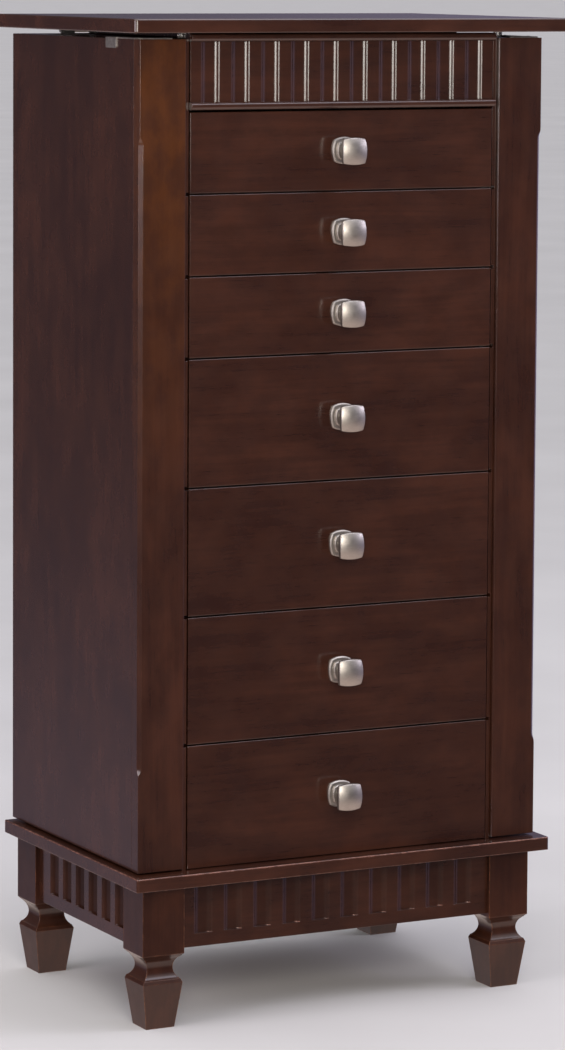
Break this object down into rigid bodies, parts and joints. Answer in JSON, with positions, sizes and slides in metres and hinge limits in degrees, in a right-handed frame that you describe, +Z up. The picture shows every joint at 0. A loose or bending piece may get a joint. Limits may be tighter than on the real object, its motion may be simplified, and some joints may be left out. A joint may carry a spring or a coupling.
{
  "type": "jewellery chest with drawers",
  "caption": "Tall wooden jewellery chest on square turned-down legs, with a flip-up lid over a lined tray, drawers with square knobs, fluted frieze and aprons, and swing-out side doors.",
  "frame": {"origin": "on the floor, under the centre of the whole chest's box", "axes": "+Z up, -Y out of the drawer fronts, +X to the right of someone facing the drawers"},
  "size_m": [0.495, 0.3412, 1.016],
  "materials": {
    "case_wood": "dark brown-red stained birch under a satin lacquer",
    "inner_wood": "dark red-brown stained wood, thin satin lacquer",
    "drawer_wood": "dark stained wood, matt lacquer",
    "satin_nickel": "satin brushed nickel plate",
    "hinge_steel": "bright zinc plated steel",
    "mirror_glass": "silvered glass",
    "lining": "soft felt lining",
    "clear_bumper": "clear polyurethane",
    "catch_plastic": "brown moulded plastic"
  },
  "bodies": {
    "case": {"leg_front_left": "case_wood", "leg_front_right": "case_wood", "leg_rear_left": "case_wood", "leg_rear_right": "case_wood", "apron_front": "case_wood", "apron_left": "case_wood", "apron_right": "case_wood", "apron_rear": "case_wood", "base_moulding": "case_wood", "partitions": "inner_wood", "rear_posts": "inner_wood", "back_rails": "inner_wood", "back_panel": "inner_wood", "drawer_dividers": "inner_wood", "frieze_panel": "case_wood", "frieze_mouldings": "case_wood", "tray_floor": "inner_wood", "tray_dividers": "inner_wood", "ring_pad": "lining", "door_catches": "catch_plastic", "case_hinge_leaves": "hinge_steel", "hinge_pins": "hinge_steel"},
    "lid": {"lid_panel": "case_wood", "mirror_frame": "inner_wood", "mirror": "mirror_glass", "lid_hinge_leaves": "hinge_steel", "lid_bumpers": "clear_bumper"},
    "left_door": {"left_door_panel": "case_wood", "left_door_stile": "case_wood", "left_corner_plate": "satin_nickel", "left_necklace_hooks": "satin_nickel", "left_pouch": "lining", "left_door_hinge_leaves": "hinge_steel"},
    "right_door": {"right_door_panel": "case_wood", "right_door_stile": "case_wood", "right_corner_plate": "satin_nickel", "right_necklace_hooks": "satin_nickel", "right_pouch": "lining", "right_door_hinge_leaves": "hinge_steel"},
    "drawer_1": {"drawer_1_front": "case_wood", "drawer_1_box": "drawer_wood", "drawer_1_knob": "satin_nickel"},
    "drawer_2": {"drawer_2_front": "case_wood", "drawer_2_box": "drawer_wood", "drawer_2_knob": "satin_nickel"},
    "drawer_3": {"drawer_3_front": "case_wood", "drawer_3_box": "drawer_wood", "drawer_3_knob": "satin_nickel"},
    "drawer_4": {"drawer_4_front": "case_wood", "drawer_4_box": "drawer_wood", "drawer_4_knob": "satin_nickel"},
    "drawer_5": {"drawer_5_front": "case_wood", "drawer_5_box": "drawer_wood", "drawer_5_knob": "satin_nickel"},
    "drawer_6": {"drawer_6_front": "case_wood", "drawer_6_box": "drawer_wood", "drawer_6_knob": "satin_nickel"},
    "drawer_7": {"drawer_7_front": "case_wood", "drawer_7_box": "drawer_wood", "drawer_7_knob": "satin_nickel"}
  },
  "joints": [
    {"name": "lid_hinge", "type": "hinge", "parent": "case", "child": "lid", "pos_m": [0, 0.1681, 0.9987], "axis": [-1, 0, 0], "range_deg": [0, 95]},
    {"name": "left_door_hinge", "type": "hinge", "parent": "case", "child": "left_door", "pos_m": [-0.2152, 0.1681, 0.5779], "axis": [0, 0, -1], "range_deg": [0, 100]},
    {"name": "right_door_hinge", "type": "hinge", "parent": "case", "child": "right_door", "pos_m": [0.2152, 0.1681, 0.5779], "axis": [0, 0, 1], "range_deg": [0, 100]},
    {"name": "drawer_1_slide", "type": "slide", "parent": "case", "child": "drawer_1", "axis": [0, -1, 0], "range_m": [0, 0.2]},
    {"name": "drawer_2_slide", "type": "slide", "parent": "case", "child": "drawer_2", "axis": [0, -1, 0], "range_m": [0, 0.2]},
    {"name": "drawer_3_slide", "type": "slide", "parent": "case", "child": "drawer_3", "axis": [0, -1, 0], "range_m": [0, 0.2]},
    {"name": "drawer_4_slide", "type": "slide", "parent": "case", "child": "drawer_4", "axis": [0, -1, 0], "range_m": [0, 0.2]},
    {"name": "drawer_5_slide", "type": "slide", "parent": "case", "child": "drawer_5", "axis": [0, -1, 0], "range_m": [0, 0.2]},
    {"name": "drawer_6_slide", "type": "slide", "parent": "case", "child": "drawer_6", "axis": [0, -1, 0], "range_m": [0, 0.2]},
    {"name": "drawer_7_slide", "type": "slide", "parent": "case", "child": "drawer_7", "axis": [0, -1, 0], "range_m": [0, 0.2]}
  ]
}
